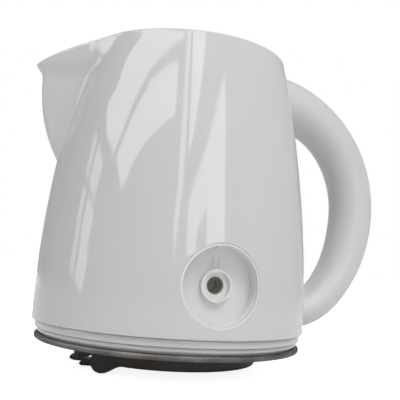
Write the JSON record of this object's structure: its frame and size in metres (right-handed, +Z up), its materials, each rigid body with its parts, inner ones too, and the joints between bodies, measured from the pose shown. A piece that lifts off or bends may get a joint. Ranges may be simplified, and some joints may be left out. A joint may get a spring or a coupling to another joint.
{
  "type": "electric jug kettle",
  "caption": "White electric jug kettle without its base cover: tapered jug, beak spout, C handle, hinged lid, side switch recess, clamped heater plate and control.",
  "frame": {"origin": "on the jug's axis, at the lower edge of the white wall, where the base cover would seat", "axes": "+Z up along the jug's axis, +X through the handle, -X through the spout, -Y through the switch recess"},
  "size_m": [0.2171, 0.152, 0.1824],
  "materials": {
    "shell_white": "high gloss white, moulded",
    "cup_white": "fine matt white, moulded",
    "handle_satin": "satin white, moulded",
    "spindle_plastic": "dark grey-green acetal",
    "seal_black": "matt black silicone",
    "seal_clear": "translucent silicone",
    "mesh_grey": "fine woven steel mesh",
    "steel": "plain turned steel",
    "plate_steel": "satin stainless steel",
    "ring_steel": "rolled steel with fine ribs",
    "diffuser_aluminium": "dull rolled aluminium",
    "element_sheath": "dull grey sheath",
    "control_black": "matt black thermoset",
    "lever_black": "black acetal",
    "contact_brass": "plated brass",
    "bimetal": "snap-action bimetal"
  },
  "bodies": {
    "jug": {"jug_shell": "shell_white", "switch_cup": "cup_white", "linkage_duct": "cup_white", "spindle_seal": "seal_black", "rod_grommet": "seal_black", "steam_tube": "cup_white", "filter_frame": "cup_white", "filter_mesh": "mesh_grey", "handle_grip": "handle_satin", "handle_cover": "handle_satin", "handle_screws": "steel", "rear_deck": "shell_white", "hinge_pin": "steel", "plate_seal": "seal_black", "heater_plate": "plate_steel", "clamp_ring": "ring_steel", "heat_diffuser": "diffuser_aluminium", "heating_element": "element_sheath", "control_housing": "control_black", "contact_pin": "contact_brass", "contact_rings": "contact_brass", "bimetal_discs": "bimetal", "bimetal_pins": "control_black", "terminal_blades": "contact_brass", "plate_studs": "steel", "control_screws": "steel", "lever_bearing": "control_black", "lever_pin": "steel"},
    "spindle": {"switch_spindle": "spindle_plastic", "spindle_clip": "steel"},
    "rod": {"push_rod": "spindle_plastic"},
    "lever": {"trip_lever": "lever_black"},
    "lid": {"lid_shell": "shell_white", "lid_inner": "cup_white", "lid_seal": "seal_clear", "button_spring": "steel"},
    "button": {"lid_button": "handle_satin"},
    "latch_left": {"latch_front": "spindle_plastic"},
    "latch_right": {"latch_back": "spindle_plastic"}
  },
  "joints": [
    {"name": "lid_hinge", "type": "hinge", "parent": "jug", "child": "lid", "pos_m": [0.046, 0, 0.1552], "axis": [0, 1, 0], "range_deg": [0, 85]},
    {"name": "button_press", "type": "slide", "parent": "lid", "child": "button", "axis": [0, 0, -1], "range_m": [0, 0.002], "stiffness_N_per_m": 400, "deforming": ["button_spring"]},
    {"name": "latch_left_slide", "type": "slide", "parent": "lid", "child": "latch_left", "axis": [0, 1, 0], "range_m": [0, 0.002]},
    {"name": "latch_right_slide", "type": "slide", "parent": "lid", "child": "latch_right", "axis": [0, -1, 0], "range_m": [0, 0.002]},
    {"name": "rod_slide", "type": "slide", "parent": "jug", "child": "rod", "axis": [0, 0, -1], "range_m": [0, 0.00209]},
    {"name": "switch_turn", "type": "hinge", "parent": "jug", "child": "spindle", "pos_m": [0.0019, -0.0644, 0.025], "axis": [0, -1, 0], "range_deg": [0, 20]},
    {"name": "lever_rock", "type": "hinge", "parent": "jug", "child": "lever", "pos_m": [-0.03862, 0.01218, -0.013], "axis": [0.3007, 0.9537, 0], "range_deg": [0, 2.8]}
  ],
  "couplings": [
    {"joint": "latch_left_slide", "follows": "button_press", "ratio": 1},
    {"joint": "latch_right_slide", "follows": "button_press", "ratio": 1},
    {"joint": "switch_turn", "follows": "rod_slide", "rad_per_m": 166.67},
    {"joint": "lever_rock", "follows": "rod_slide", "rad_per_m": 21.225}
  ]
}
